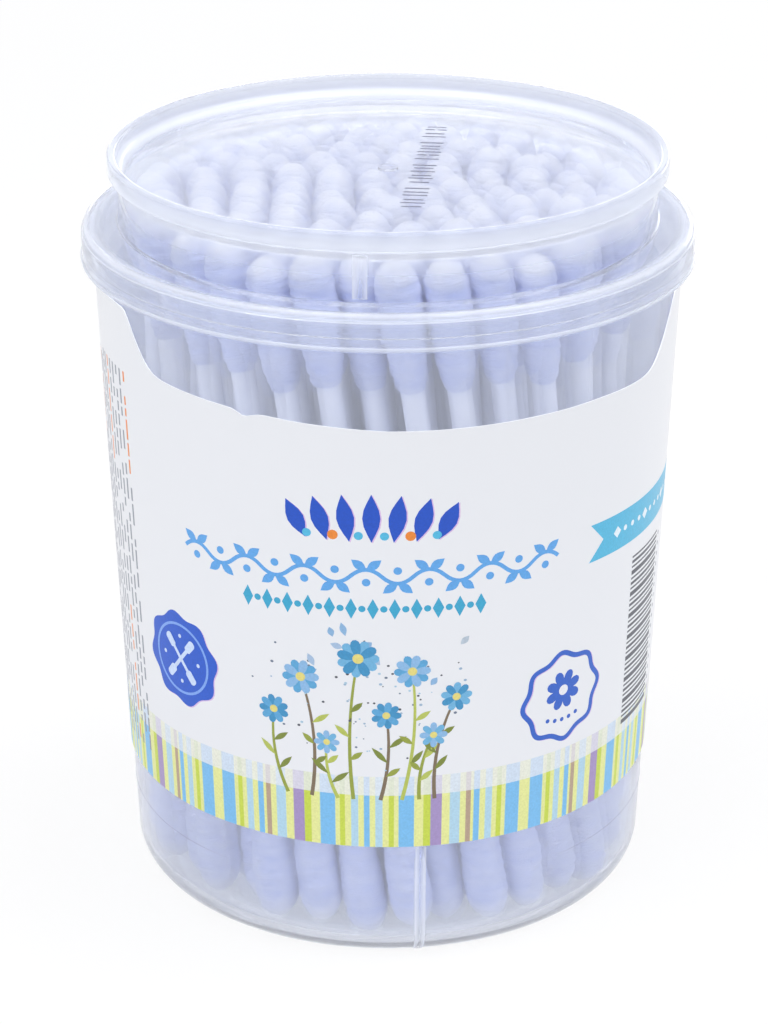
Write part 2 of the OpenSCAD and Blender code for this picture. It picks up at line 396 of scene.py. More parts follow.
# Marks how milky the plastic is: veil all over, up to 1 near each thick edge (radius, height, reach) in mm
def markThick(piece, edges, veil=0):
    layer = piece.data.attributes["thick"]
    for corner in piece.data.vertices:
        radius, height = math.hypot(corner.co.x, corner.co.y) / mm, corner.co.z / mm
        far = min(((radius - r) ** 2 + (height - z) ** 2) / reach ** 2 for r, z, reach in edges)
        mark = layer.data[corner.index]
        mark.value = max(mark.value, math.exp(-far), veil)


# How far a point is from the middle of the nearest rib, in degrees
def besideRib(point, ribs):
    azimuth = math.degrees(math.atan2(point.x, -point.y))
    return (azimuth - ribs["azimuth"] + 60) % 120 - 60


# Raises three upright ribs from the faces past a radius and between two heights.
# Their two edges are marked as thick, and they sink away over their lowest ribs["fade"] mm.
def raiseRibs(piece, ribs, zRange, outside):
    selectOnly(piece)
    setMode("EDIT")
    bpy.ops.mesh.select_all(action="DESELECT")
    setMode("OBJECT")
    for face in piece.data.polygons:
        centre = face.center
        height = centre.z / mm
        radius = math.hypot(centre.x, centre.y) / mm
        within = abs(math.radians(besideRib(centre, ribs)) * radius) < ribs["width"] / 2
        face.select = within and zRange[0] < height < zRange[1] and radius > outside
    setMode("EDIT")
    bpy.ops.mesh.select_mode(type="FACE")
    bpy.ops.mesh.extrude_region_shrink_fatten(TRANSFORM_OT_shrink_fatten={"value": ribs["height"] * mm})
    setMode("OBJECT")
    raised = {i for face in piece.data.polygons if face.select for i in face.vertices}
    layer = piece.data.attributes.new("thick", "FLOAT", "POINT")
    for i in raised:
        corner = piece.data.vertices[i]
        if abs(math.radians(besideRib(corner.co, ribs)) * outside) > 0.3 * ribs["width"]:
            layer.data[i].value = 1
        low = 1 - (corner.co.z / mm - zRange[0]) / ribs["fade"] if ribs["fade"] else 0
        if low > 0:
            corner.co -= corner.normal * ribs["height"] * 0.9 * min(1, low) * mm


# Tub, in mm
tubSize = {
    "baseRadius": 27.77, "draft": 0.0394, "wall": 0.8, "floor": 1.4, "height": 72.5,
    "recess": 0.6, "footWidth": 1.6, "footEase": (0.12, 0.04), "corner": 3.8, "innerEase": 0.3, "edge": 0.3,
    "beadHeight": 1.3, "bead": 0.3, "beadLead": 1.0,
    "witness": 9.4, "seam": 0.03,         # height of the mould's line round the wall, and its size
    "gate": 2.2, "gateHeight": 0.25,
    "ribs": {"azimuth": 6.8, "width": 1.1, "height": 0.25, "fade": 3},
    "ribTop": 14.0,
    "veil": 0.16,                         # the tub's wall is a little milkier than the lid's
    "milkyRim": 0.4, "milkyFoot": 0.5,    # how far the whiter plastic reaches from the rim and the foot
    "wallRings": (24, 36, 48, 60), "lowRing": 12, "floorRings": (18, 9),    # keep the faces even
    "steps": 320,
}


def wallRadius(z):
    return tubSize["baseRadius"] + tubSize["draft"] * z


def makeTub(material):
    s = tubSize
    innerCorner = s["corner"] - s["wall"] - s["innerEase"]
    foot = wallRadius(0) + s["draft"] * s["corner"] - s["corner"]
    footInside = foot - s["footWidth"]
    inside = wallRadius(s["floor"] + innerCorner) - s["wall"]
    rim = wallRadius(s["height"]) + s["bead"]
    beadFoot = s["height"] - s["beadHeight"]
    lip = wallRadius(s["height"]) - s["wall"] + s["edge"]
    gateZ = s["recess"] - s["gateHeight"]
    line, proud = s["witness"], s["seam"]
    outline = [(0, gateZ), (s["gate"] / 2, gateZ), (s["gate"] / 2, s["recess"]),
               (footInside - s["recess"], s["recess"]),
               (footInside - s["footEase"][0], s["footEase"][1]), (footInside, 0)]
    outline += arcPoints((foot, s["corner"]), s["corner"], -90, 0, 16)
    outline += [(wallRadius(line), line), (wallRadius(line) + proud, line + proud),
                (wallRadius(line + 2 * proud), line + 2 * proud)]
    outline += [(wallRadius(z), z) for z in (s["ribTop"], *s["wallRings"], beadFoot - s["beadLead"])]
    outline += [(wallRadius(beadFoot - s["bead"]), beadFoot - s["bead"]), (rim, beadFoot)]
    outline += arcPoints((rim - s["edge"], s["height"] - s["edge"]), s["edge"], 0, 90, 5)
    outline += arcPoints((lip, s["height"] - s["edge"]), s["edge"], 90, 180, 5)
    outline += [(wallRadius(z) - s["wall"], z) for z in (beadFoot, *reversed(s["wallRings"]), s["lowRing"])]
    outline += arcPoints((inside - innerCorner, s["floor"] + innerCorner), innerCorner, 0, -90, 12)
    outline += [(radius, s["floor"]) for radius in (*s["floorRings"], 0)]
    tub = turnedPiece("tub_shell", outline, s["steps"], s["ribs"]["azimuth"])
    raiseRibs(tub, s["ribs"], (s["recess"], s["ribTop"]), foot)
    edges = [(rim, s["height"], s["milkyRim"]), (foot - s["footWidth"] / 2, 0, s["milkyFoot"])]
    markThick(tub, edges, s["veil"])
    smoothFaces(tub)
    tub.data.materials.append(material)
    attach(tub, "tub")
    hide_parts("tub")


# Lid, in mm
lidSize = {
    "thick": 0.8, "neck": 28.0031, "band": 29.0031, "top": 80.5, "panel": 78.1, "bandFoot": 78.5,
    "bend": 0.5, "trayBend": 1.2, "trayEase": 0.1, "ledge": 73.35, "skirt": 32.0265, "edgeZ": 69.45,
    "shoulder": 0.85, "step": 0.12, "edge": 0.3,
    "lip": 0.14, "lipZ": 0.12, "lipTop": 0.28,    # the small bead outside the skirt's edge
    "snapZ": 1.1, "snap": 0.24, "snapRound": 0.06,
    "gate": 2.2, "gateHeight": 0.25, "gateTaper": 0.1,
    "ribs": {"azimuth": -5.6, "width": 1.5, "height": 0.25, "fade": 0},
    "panelRings": (8, 18),                        # keep the faces even
    "steps": 240,
}


def makeLid(material):
    s = lidSize
    e = s["edge"]
    tray = s["band"] - s["thick"] - s["trayEase"]
    neckIn = s["neck"] - s["thick"]
    under = s["panel"] - s["thick"]
    skirtIn = s["skirt"] - s["thick"]
    side = s["skirt"] - s["lip"]
    bead = s["edgeZ"] + s["snapZ"]
    stepZ = s["ledge"] - s["shoulder"] - s["step"]
    gateZ = s["panel"] + s["gateHeight"]
    outline = [(0, gateZ), (s["gate"] / 2 - s["gateTaper"], gateZ)]
    outline += [(radius, s["panel"]) for radius in (s["gate"] / 2, *s["panelRings"])]
    outline += arcPoints((tray - s["trayBend"], s["panel"] + s["trayBend"]), s["trayBend"], -90, 0, 10)
    outline += arcPoints((tray + e, s["top"] - e), e, 180, 90, 5)
    outline += arcPoints((s["band"] - e, s["top"] - e), e, 90, 0, 5)
    outline += arcPoints((s["band"] - e, s["bandFoot"] + e), e, 0, -90, 5)
    outline += arcPoints((s["neck"] + s["bend"], s["bandFoot"] - s["bend"]), s["bend"], 90, 180, 7)
    outline += arcPoints((s["neck"] + e, s["ledge"] + e), e, 180, 270, 5)
    shoulder = s["shoulder"]
    outline += arcPoints((side - s["step"] - shoulder, s["ledge"] - shoulder), shoulder, 90, 0, 9)
    outline += [(side - 0.02, stepZ + 0.03), (side, stepZ - 0.04)]     # the eased foot of the step
    outline += [(side, s["edgeZ"] + e + s["lipTop"])]
    outline += arcPoints((side, s["edgeZ"] + e + s["lipZ"]), s["lip"], 80, 0, 3)
    outline += arcPoints((s["skirt"] - e, s["edgeZ"] + e), e, 0, -90, 4)
    outline += [(skirtIn, s["edgeZ"]), (skirtIn, bead - s["snap"]),
                (skirtIn - 0.9 * s["snap"], bead - s["snapRound"]), (skirtIn - s["snap"], bead),
                (skirtIn - 0.9 * s["snap"], bead + s["snapRound"]), (skirtIn, bead + s["snap"])]
    outline += arcPoints((skirtIn - e, s["ledge"] - s["thick"] - e), e, 0, 90, 4)
    outline += arcPoints((neckIn + e, s["ledge"] - s["thick"] - e), e, 90, 180, 4)
    outline += arcPoints((neckIn - e, under - e), e, 0, 90, 4)
    outline += [(radius, under) for radius in (*reversed(s["panelRings"]), 0)]
    lid = turnedPiece("lid_shell", outline, s["steps"], s["ribs"]["azimuth"])
    raiseRibs(lid, s["ribs"], (s["ledge"] + e, s["bandFoot"] - s["bend"]), s["neck"] - 0.1)
    markThick(lid, [
        (s["skirt"], s["edgeZ"] + e + 0.1, 0.22),                  # the skirt's edge
        (side - s["step"], s["ledge"] - s["shoulder"], 0.15),      # the step
        (side - s["step"] - 0.3, s["ledge"] - 0.3, 0.35),          # the shoulder
        (tray, s["panel"] + 0.7, 1.2),                             # the fillet round the panel
        (s["band"], s["top"] - 1.2, 0.9),                          # the stacking rim
    ])
    smoothFaces(lid)
    lid.data.materials.append(material)
    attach(lid, "lid")
    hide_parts("lid")


# Swabs, in mm: each axis is read from the sticks of the frame
budSize = {
    "rows": 6,
    "past": 3.4,                      # from a stick's end to the tip of the bud
    "segments": 20, "rings": 44,
    "variants": 8,
    "lump": 0.16,                     # unevenness of the winding
    "lumpScales": (0.42, 1.1),        # of the large and small lumps, for each mm
    "pitch": 1.45, "valley": 0.22,    # one turn of the cotton, and the depth between two turns
    "wander": (0.45, 0.25),           # how far a turn strays, in turns
    "calmTip": 3.5,                   # the turns grow in over this height
    # height above the tip and radius there
    "profile": [(0.0, 0.0), (0.18, 0.75), (0.62, 1.34), (1.3, 1.84), (2.2, 2.14), (3.3, 2.25), (4.6, 2.26),
                (6.0, 2.22), (7.6, 2.15), (9.2, 2.06), (10.8, 1.93), (12.2, 1.77), (13.3, 1.55), (14.0, 1.28),
                (14.0, 0.0)],
}


# The profile's point at a share of its length
def alongProfile(share):
    points = [Vector(point) for point in budSize["profile"]]
    lengths = [(b - a).length for a, b in zip(points, points[1:])]
    left = share * sum(lengths)
    for a, b, length in zip(points, points[1:], lengths):
        if left <= length:
            return a.lerp(b, left / length)
        left -= length
    return points[-1]


# The two end centres of every stick in a node, lower one first
def stickEnds(node):
    mesh = node.data
    groups = {}
    for corner in mesh.vertices:
        groups.setdefault(tuple(round(c * 200000) for c in corner.co), []).append(corner.index)
    home = list(range(len(mesh.vertices)))

    def rootOf(i):
        while home[i] != i:
            home[i] = home[home[i]]
            i = home[i]
        return i

    for same in groups.values():
        for i in same[1:]:
            home[rootOf(i)] = rootOf(same[0])
    for face in mesh.polygons:
        corners = list(face.vertices)
        for i in corners[1:]:
            home[rootOf(i)] = rootOf(corners[0])
    sticks = {}
    for same in groups.values():
        sticks.setdefault(rootOf(same[0]), []).append(mesh.vertices[same[0]].co.copy())
    ends = []
    for points in sticks.values():
        middle = sum((p.z for p in points)) / len(points)
        low = [p for p in points if p.z < middle]
        high = [p for p in points if p.z > middle]
        ends.append((sum(low, Vector()) / len(low), sum(high, Vector()) / len(high)))
    return ends


# One bud along +Z with its tip at the origin; the attribute valley marks the low places between its turns,
# which the cotton's material also darkens with painted shade
def budVariant(index):
    s = budSize
    deselectAll()
    bpy.ops.mesh.primitive_uv_sphere_add(segments=s["segments"], ring_count=s["rings"], radius=1)
    bud = bpy.context.object
    bud.name = "bud_variant_%d" % index
    layer = bud.data.attributes.new("valley", "FLOAT", "POINT")
    for corner in bud.data.vertices:
        share = math.acos(max(-1, min(1, -corner.co.z))) / math.pi
        height, radius = alongProfile(round(share * s["rings"]) / s["rings"])
        angle = math.atan2(corner.co.y, corner.co.x)
        away = Vector((math.cos(angle), math.sin(angle), 0))
        place = away * radius + Vector((0, 0, height))
        lump = noise.noise(place * s["lumpScales"][0] + Vector((7.1 * index, 0, 0)))
        lump += 0.5 * noise.noise(place * s["lumpScales"][1] + Vector((0, 3.3 * index, 0)))
        turn = height / s["pitch"] + angle / (2 * math.pi)
        turn += (s["wander"][0] * noise.noise(Vector((0, 5.7 * index, height * 0.7)))
                 + s["wander"][1] * noise.noise(place * 0.6))
        depth = 0.6 + 0.8 * noise.noise(place * 0.8 + Vector((0, 0, 9.4 * index)))
        valley = max(0, depth) * (0.5 + 0.5 * math.cos(2 * math.pi * turn)) ** 2
        valley *= min(1, height / s["calmTip"])
        layer.data[corner.index].value = valley
        grow = s["lump"] * lump - s["valley"] * valley
        corner.co = (place + away * grow * min(1, radius / 1.5)) * mm
    smoothFaces(bud, 80)
    return bud


def makeBuds(material, sticks):
    variants = [budVariant(i) for i in range(budSize["variants"])]
    chance = random.Random(5)
    for row in range(1, budSize["rows"] + 1):
        ends = stickEnds(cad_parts["sticks_row_%d" % row])
        for kind in ("upper", "lower"):
            copies = []
            for low, high in ends:
                along = (high - low).normalized()
                end, inward = (high, -along) if kind == "upper" else (low, along)
                tip = end - inward * budSize["past"] * mm
                copy = chance.choice(variants).copy()
                copy.data = copy.data.copy()
                bpy.context.collection.objects.link(copy)
                spin = Matrix.Rotation(chance.uniform(0, 2 * math.pi), 4, "Z")
                aim = inward.to_track_quat("Z", "Y").to_matrix().to_4x4()
                copy.data.transform(Matrix.Translation(tip) @ aim @ spin)
                copies.append(copy)
            buds = joinPieces(copies, "%s_cotton_%d" % (kind, row))
            buds.data.materials.clear()
            buds.data.materials.append(material)
            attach(buds, "tub")
            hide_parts("%s_buds_row_%d" % (kind, row))
        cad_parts["sticks_row_%d" % row].material_slots[0].material = sticks
    removePieces(variants)


# Label: a film sheet round the wall, cut low in front; in mm, and azimuths in degrees from the front
labelSize = {
    "gap": 0.03, "thick": 0.12, "bottom": 14.1, "top": 68.2, "window": 61.0,
    "left": -52.5, "right": 62.5,             # azimuths where the window's lower edge turns up
    "leftSlope": 0.76, "rightSlope": 0.62,    # mm of rise for each degree
    "turn": 1.6,                              # softness of that turn, in degrees
    "topTurn": 0.35,                          # softness of the turn into the top edge, in mm
    "tilt": 0.024, "tiltEnd": 60,             # mm of rise for each degree to the left, up to an azimuth
    "sag": 0.125, "waver": 0.06,              # long and short waves of the window's edge
    "seam": 0.5,
    "columns": 360, "rows": 26,
    "wrinkle": {"azimuth": -27.5, "z": 61.4, "height": 0.32, "size": 1.1, "dip": 0.4, "dipWidth": 2.2},
    "wave": 0.035,
    "flatRadius": 29.0,                       # turns azimuths into mm along the film
}


# The azimuth where the sheet ends, beside the seam at the back
def sheetEnd():
    return 180 - math.degrees(labelSize["seam"] / 2 / labelSize["flatRadius"])


# 0 below x = 0, then rising by x, with a soft turn
def softRise(x, width):
    return width * math.log1p(math.exp(min(x / width, 40)))


def topEdge(azimuth):
    s = labelSize
    w = s["wrinkle"]
    rise = s["leftSlope"] * softRise(s["left"] - azimuth, s["turn"])
    rise += s["rightSlope"] * softRise(azimuth - s["right"], s["turn"])
    rise += s["tilt"] * min(s["tiltEnd"], max(0, -azimuth))
    sag = s["sag"] * math.cos(math.radians(azimuth * 4))
    sag += s["waver"] * noise.noise(Vector((azimuth * 0.09, 2.5, 0)))
    fold = (azimuth - w["azimuth"]) / w["dipWidth"]
    edge = s["window"] + rise - sag - w["dip"] * math.exp(-fold * fold)
    if edge > s["window"] + 4:     # at the window's sides
        return s["top"] - softRise(s["top"] - edge, s["topTurn"])
    return min(edge, s["top"])


# The place on the wall of a point of the film, lift mm out from the film's inner face
def onLabel(azimuth, z, lift):
    s = labelSize
    w = s["wrinkle"]
    radius = wallRadius(z) + s["gap"] + lift
    wave = s["wave"] * (1 + noise.noise(Vector((azimuth * 0.06, z * 0.09, 0.5))))
    aside = math.radians(azimuth - w["azimuth"]) * radius / w["size"]
    above = (z - w["z"]) / (1.2 * w["size"])
    radius += wave + w["height"] * math.exp(-2 * (aside ** 2 + above ** 2))
    angle = math.radians(azimuth)
    return Vector((radius * math.sin(angle), -radius * math.cos(angle), z)) * mm


def makeLabel(material):
    s = labelSize
    deselectAll()
    bpy.ops.mesh.primitive_grid_add(x_subdivisions=s["columns"], y_subdivisions=s["rows"], size=2)
    label = bpy.context.object
    label.name = "label_film"
    half = sheetEnd()
    for corner in label.data.vertices:
        azimuth = corner.co.x * half
        share = (corner.co.y + 1) / 2
        z = s["bottom"] + share * (topEdge(azimuth) - s["bottom"])
        corner.co = onLabel(azimuth, z, 0)
    thicken(label, s["thick"])
    smoothFaces(label)
    label.data.materials.append(material)
    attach(label, "tub")
    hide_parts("label")


# Stripes: a printed band at the label's foot, whose sequence runs forwards and back by turns; in mm
stripeSize = {
    "bottom": 14.1, "top": 20.2, "tintTop": 22.4,
    "start": -4.4, "end": 29.4,          # azimuths of the sequence's first and last line
    "lift": 0.122, "thick": 0.004,
    "colours": {"sky": "#7CC0EE", "yellow": "#E9EC9A", "pale": "#B4D8EA", "lime": "#CBDB4A",
                "purple": "#A893C4", "brown": "#B9A08A"},
    "tint": 0.3,                         # how strong the pale continuation above the band is
    "film": "#EDEEF2",
    "cutEvery": 2, "cutHeights": (16, 18),    # degrees and heights where the flat band is cut to bend
    # colour and width of each line
    "run": [("sky", .275), ("yellow", .55), ("pale", .7), ("yellow", .6), ("lime", .5), ("yellow", .45),
            ("sky", 1.5), ("yellow", .9), ("lime", .7), ("purple", 1.1), ("yellow", .8), ("pale", 1.0),
            ("yellow", .6), ("brown", .5), ("yellow", .3), ("sky", .6), ("yellow", .6), ("pale", .7),
            ("yellow", .5), ("lime", .5), ("yellow", .45), ("sky", 1.5), ("yellow", .6)],
}


def stripeEdges():
    s = stripeSize
    total = sum(width for name, width in s["run"])
    period = s["end"] - s["start"]
    edges = []
    place = s["start"]
    for name, width in s["run"]:
        after = place + width / total * period
        edges.append((place, after, name))
        place = after
    mirrored = [(2 * s["start"] - b, 2 * s["start"] - a, name) for a, b, name in reversed(edges)]
    bands = []
    for turn in range(-3, 4):
        shift = 2 * period * turn
        bands += [(a + shift, b + shift, name) for a, b, name in mirrored + edges]
    half = sheetEnd()
    return [(max(a, -half), min(b, half), name) for a, b, name in bands if b > -half and a < half]


# Cuts the mesh in edit mode across x (axis 0) or y (axis 1)
def cutAcross(axis, at):
    bpy.ops.mesh.select_all(action="SELECT")
    bpy.ops.mesh.bisect(plane_co=(at, at, 0), plane_no=(1 - axis, axis, 0))


def makeStripes(material):
    s = stripeSize
    bands = stripeEdges()
    deselectAll()
    first, last = bands[0][0], bands[-1][1]
    middle = ((first + last) / 2, (s["bottom"] + s["tintTop"]) / 2, 0)
    bpy.ops.mesh.primitive_plane_add(size=1, location=middle)
    strip = bpy.context.object
    strip.name = "print_stripes"
    strip.scale = (last - first, s["tintTop"] - s["bottom"], 1)
    selectOnly(strip)
    bpy.ops.object.transform_apply(location=True, rotation=True, scale=True)
    setMode("EDIT")
    cuts = {round(a, 5) for a, b, name in bands[1:]}
    cuts |= {float(a) for a in range(-178, 180, s["cutEvery"])}
    for cut in sorted(cuts):
        cutAcross(0, cut)
    for z in (*s["cutHeights"], s["top"]):
        cutAcross(1, z)
    setMode("OBJECT")
    ink = strip.data.attributes.new("ink", "FLOAT_COLOR", "FACE")
    film = linearColor(s["film"])
    for face in strip.data.polygons:
        name = next(name for a, b, name in bands if a <= face.center.x <= b)
        colour = linearColor(s["colours"][name])
        if face.center.y > s["top"]:
            colour = [f + s["tint"] * (c - f) for f, c in zip(film, colour)]
        ink.data[face.index].color = colour
    for corner in strip.data.vertices:
        corner.co = onLabel(corner.co.x, corner.co.y, s["lift"])
    thicken(strip, s["thick"])
    strip.data.materials.append(material)
    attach(strip, "tub")


# Printed ornaments: flat shapes in mm, x along the film and y up it, stacked in thin layers
printSize = {
    "lift": 0.125, "layer": 0.011, "thick": 0.006,
    "cut": 1.0,                   # longest stretch left flat on the round wall
    "misprint": (0.13, -0.07),    # how far the fringe under a shape is off
    "badge": (10.2, 10.2),
    "royal": "#1558CC", "navy": "#0A4FC4", "blue": "#2A62C8", "lightBlue": "#7FA8F0", "sky": "#5FA8E8",
    "cyan": "#35A8CF", "ribbon": "#4FBBE0", "white": "#EAF6FC", "pale": "#CFE0FB", "fringe": "#DCC0E6",
    "orange": "#F08A2C", "olive": "#98A33E", "moss": "#B9C45A", "sage": "#7F8C35", "bark": "#7F6E56",
    "grey": "#8D909C", "dark": "#4A4D58", "heart": "#E7D97C",
    "blooms": ["#3C93C4", "#5AA7D6", "#8DBBE3", "#6FB4DC"],
    "petals": ["#A9C2DE", "#8DB6DC", "#B9C6D2"],
    "specks": ["#4A4D58", "#6E7C90", "#9DB7CE", "#A9C9DD"],
}


def alongFilm(azimuth):
    return math.radians(azimuth) * labelSize["flatRadius"]


def pointedForm(x, y):
    return x, math.copysign(0.5 * math.cos(math.pi * x) ** 1.15, y)


def petalForm(x, y):
    return x + 0.5, y * (0.45 + 0.75 * (x + 0.5))


def capsuleForm(x, y):
    return 0.44 * x + math.copysign(0.28, x), y


def scallopForm(x, y):
    angle = math.atan2(y, x)
    grow = 1 + 0.055 * math.cos(8 * angle)
    return x * grow, y * grow


def flatShape(sides, form=None):
    deselectAll()
    bpy.ops.mesh.primitive_circle_add(vertices=sides, radius=0.5, fill_type="NGON")
    shape = bpy.context.object
    if form:
        for corner in shape.data.vertices:
            corner.co.x, corner.co.y = form(corner.co.x, corner.co.y)
    return shape


# The stock of shapes that the ornaments are stamped from, each about 1 mm across
def printStock():
    stock = {"dot": flatShape(14), "leaf": flatShape(18, pointedForm), "petal": flatShape(14, petalForm),
             "capsule": flatShape(18, capsuleForm), "lozenge": flatShape(4),
             "scallop": flatShape(96, scallopForm)}
    deselectAll()
    bpy.ops.mesh.primitive_plane_add(size=1)
    stock["bar"] = bpy.context.object
    for name, sides, form, wall in (("ring", 48, None, 0.035), ("scallopRing", 96, scallopForm, 0.055)):
        ring = flatShape(sides, form)
        setMode("EDIT")
        bpy.ops.mesh.select_mode(type="FACE")
        bpy.ops.mesh.select_all(action="SELECT")
        bpy.ops.mesh.inset(thickness=wall)
        bpy.ops.mesh.delete(type="FACE")
        setMode("OBJECT")
        stock[name] = ring
    return stock


def inkFaces(shape, ink):
    colour = linearColor(ink)
    layer = shape.data.attributes.new("ink", "FLOAT_COLOR", "FACE")
    for face in shape.data.polygons:
        layer.data[face.index].color = colour


def stamp(pile, shape, at, size, turn, ink, layer=0):
    copy = shape.copy()
    copy.data = shape.data.copy()
    bpy.context.collection.objects.link(copy)
    grow = Matrix.Diagonal((size[0], size[1], 1, 1))
    spin = Matrix.Rotation(math.radians(turn), 4, "Z")
    copy.data.transform(Matrix.Translation((at[0], at[1], layer)) @ spin @ grow)
    inkFaces(copy, ink)
    pile.append(copy)


# A shape on its own pale fringe, where the inks don't quite meet
def fringedStamp(pile, shape, at, size, turn, ink):
    slip = (at[0] + printSize["misprint"][0], at[1] + printSize["misprint"][1])
    stamp(pile, shape, slip, size, turn, printSize["fringe"], 0)
    stamp(pile, shape, at, size, turn, ink, 1)


# A tapered ribbon from start to end that bows sideways
def ribbonStamp(pile, start, end, bow, width, ink, layer=0, steps=10, taper=0.45):
    deselectAll()
    bpy.ops.mesh.primitive_grid_add(x_subdivisions=steps, y_subdivisions=1, size=2)
    ribbon = bpy.context.object
    start, end = Vector(start), Vector(end)
    side = Vector((start.y - end.y, end.x - start.x)).normalized()
    for corner in ribbon.data.vertices:
        t = (corner.co.x + 1) / 2
        middle = start.lerp(end, t) + side * bow * 4 * t * (1 - t)
        along = (end - start) + side * bow * 4 * (1 - 2 * t)
        across = Vector((-along.y, along.x)).normalized()
        place = middle + across * corner.co.y * width / 2 * (1 - taper * t)
        corner.co = (place.x, place.y, layer)
    inkFaces(ribbon, ink)
    pile.append(ribbon)
    return side


def daisy(pile, stock, at, size, petals, inks, heart, layer, turn=0):
    for i in range(petals):
        stamp(pile, stock["petal"], at, (size / 2, size * 0.27), turn + i * 360 / petals,
              inks[i % len(inks)], layer + 0.5 * (i % 2))
    stamp(pile, stock["dot"], at, (size * 0.26, size * 0.26), 0, heart, layer + 1)


# A fan of upright leaves over a row of dots
def makeHeadline(pile, stock):
    p = printSize
    centre, base = alongFilm(-3.2), 48.9
    # place, length and lean of each leaf
    leaves = [(-7.4, 4.4, 26), (-5.0, 4.9, 16), (-2.5, 5.2, 8), (0.0, 5.3, 0),
              (2.5, 5.2, -8), (5.0, 4.9, -16), (7.4, 4.4, -26)]
    for x, tall, lean in leaves:
        at = (centre + x, base + tall / 2)
        fringedStamp(pile, stock["leaf"], at, (tall, 1.75), 90 + lean, p["navy"])
    for x in (-3.75, 3.75):
        stamp(pile, stock["dot"], (centre + x, base + 0.75), (1.05, 1.05), 0, p["orange"], 2)
    for x in (-6.3, -1.25, 1.25, 6.3):
        stamp(pile, stock["dot"], (centre + x, base + 0.75), (0.9, 0.9), 0, p["ribbon"], 2)


# A vine with leaves and berries to both sides
def makeVine(pile, stock):
    ink = printSize["sky"]
    left, right, middle = alongFilm(-43.5), alongFilm(35), 45.2
    waves = 13
    pitch = (right - left) / waves
    for i in range(waves):
        x = left + i * pitch
        up = 1 if i % 2 == 0 else -1
        ribbonStamp(pile, (x, middle), (x + pitch, middle), 0.75 * up, 0.42, ink, 0, 8, 0)
        at = (x + pitch / 2, middle + 0.9 * up)
        stamp(pile, stock["leaf"], (at[0] - 0.7, at[1] + 0.35 * up), (1.9, 0.95), -38 * up, ink, 1)
        stamp(pile, stock["leaf"], (at[0] + 0.75, at[1] + 0.35 * up), (1.9, 0.95), 38 * up, ink, 1)
        stamp(pile, stock["dot"], (x + pitch / 2, middle - 0.65 * up), (0.85, 0.85), 0, ink, 1)


# A row of lozenges and dots under it
def makeBeads(pile, stock):
    ink = printSize["cyan"]
    left, right, height = alongFilm(-30.5), alongFilm(20.3), 41.6
    count = 12
    pitch = (right - left) / count
    for i in range(count):
        x = left + (i + 0.5) * pitch
        stamp(pile, stock["lozenge"], (x, height), (1.15, 2.3), 0, ink)
        if i < count - 1:
            stamp(pile, stock["dot"], (x + pitch / 2, height), (0.72, 0.72), 0, ink)


def fromPoint(at, far, turn):
    return at[0] + far * math.cos(math.radians(turn)), at[1] + far * math.sin(math.radians(turn))


# Two round badges: crossed swabs on the left, a daisy over a row of dots on the right
def makeBadges(pile, stock):
    p = printSize
    left = (alongFilm(-47.2), 31.5)
    fringedStamp(pile, stock["scallop"], left, p["badge"], 10, p["royal"])
    stamp(pile, stock["ring"], left, (8.1, 8.1), 0, p["lightBlue"], 2)
    for turn in (50, 130):
        stamp(pile, stock["bar"], left, (4.2, 0.42), turn, p["pale"], 2 + turn / 100)
        for end in (-1, 1):
            stamp(pile, stock["capsule"], fromPoint(left, end * 2.3, turn), (1.7, 0.95), turn, p["pale"], 5)
    for turn in (0, 90, 180, 270):
        stamp(pile, stock["dot"], fromPoint(left, 2.6, turn), (0.45, 0.45), 0, p["pale"], 2)

    right = (alongFilm(38.2), 28.7)
    fringedStamp(pile, stock["scallopRing"], right, p["badge"], 5, p["blue"])
    daisy(pile, stock, (right[0], right[1] + 0.7), 4.6, 8, [p["blue"]], stripeSize["film"], 1, 22)
    for i in range(-2, 3):
        at = (right[0] + i * 0.95, right[1] - 2.75 + 0.08 * i * i)
        stamp(pile, stock["dot"], at, (0.5, 0.5), 0, p["blue"], 1)


# A swallow-tailed ribbon with a row of pale dots
def makeRibbon(pile, stock):
    p = printSize
    left, notch, right = alongFilm(43.4), alongFilm(47.4), alongFilm(92)
    low, high = 43.0, 47.2
    deselectAll()
    bpy.ops.mesh.primitive_grid_add(x_subdivisions=1, y_subdivisions=2, size=2)
    band = bpy.context.object
    for corner in band.data.vertices:
        atTail = corner.co.x < 0
        x = (notch if abs(corner.co.y) < 0.5 else left) if atTail else right
        if not atTail and abs(corner.co.y) < 0.5:
            x = right - (notch - left)
        corner.co = (x, low + (corner.co.y + 1) / 2 * (high - low), 0)
    inkFaces(band, p["ribbon"])
    pile.append(band)
    for i in range(14):
        x = alongFilm(52) + i * 1.45
        shape, size = ("lozenge", 1.3) if i % 4 == 0 else ("dot", 0.62)
        stamp(pile, stock[shape], (x, (low + high) / 2), (size, size), 0, p["white"], 1)


# A stack of even decorative lines, thick and thin by turns, with a column of dots beside it
def makeLines(pile, stock):
    left, right = alongFilm(59), alongFilm(74)
    z, top, gap = 21.3, 41, 0.3
    rhythm = [0.52, 0.22, 0.34, 0.22]
    i = 0
    while z < top:
        thick = rhythm[i % 4]
        at = ((left + right) / 2, z + thick / 2)
        stamp(pile, stock["bar"], at, (right - left, thick), 0, printSize["dark"])
        z += thick + gap
        i += 1
    for i in range(16):
        stamp(pile, stock["dot"], (right + 0.9, 22 + i * 1.22), (0.42, 0.5), 0, printSize["grey"])


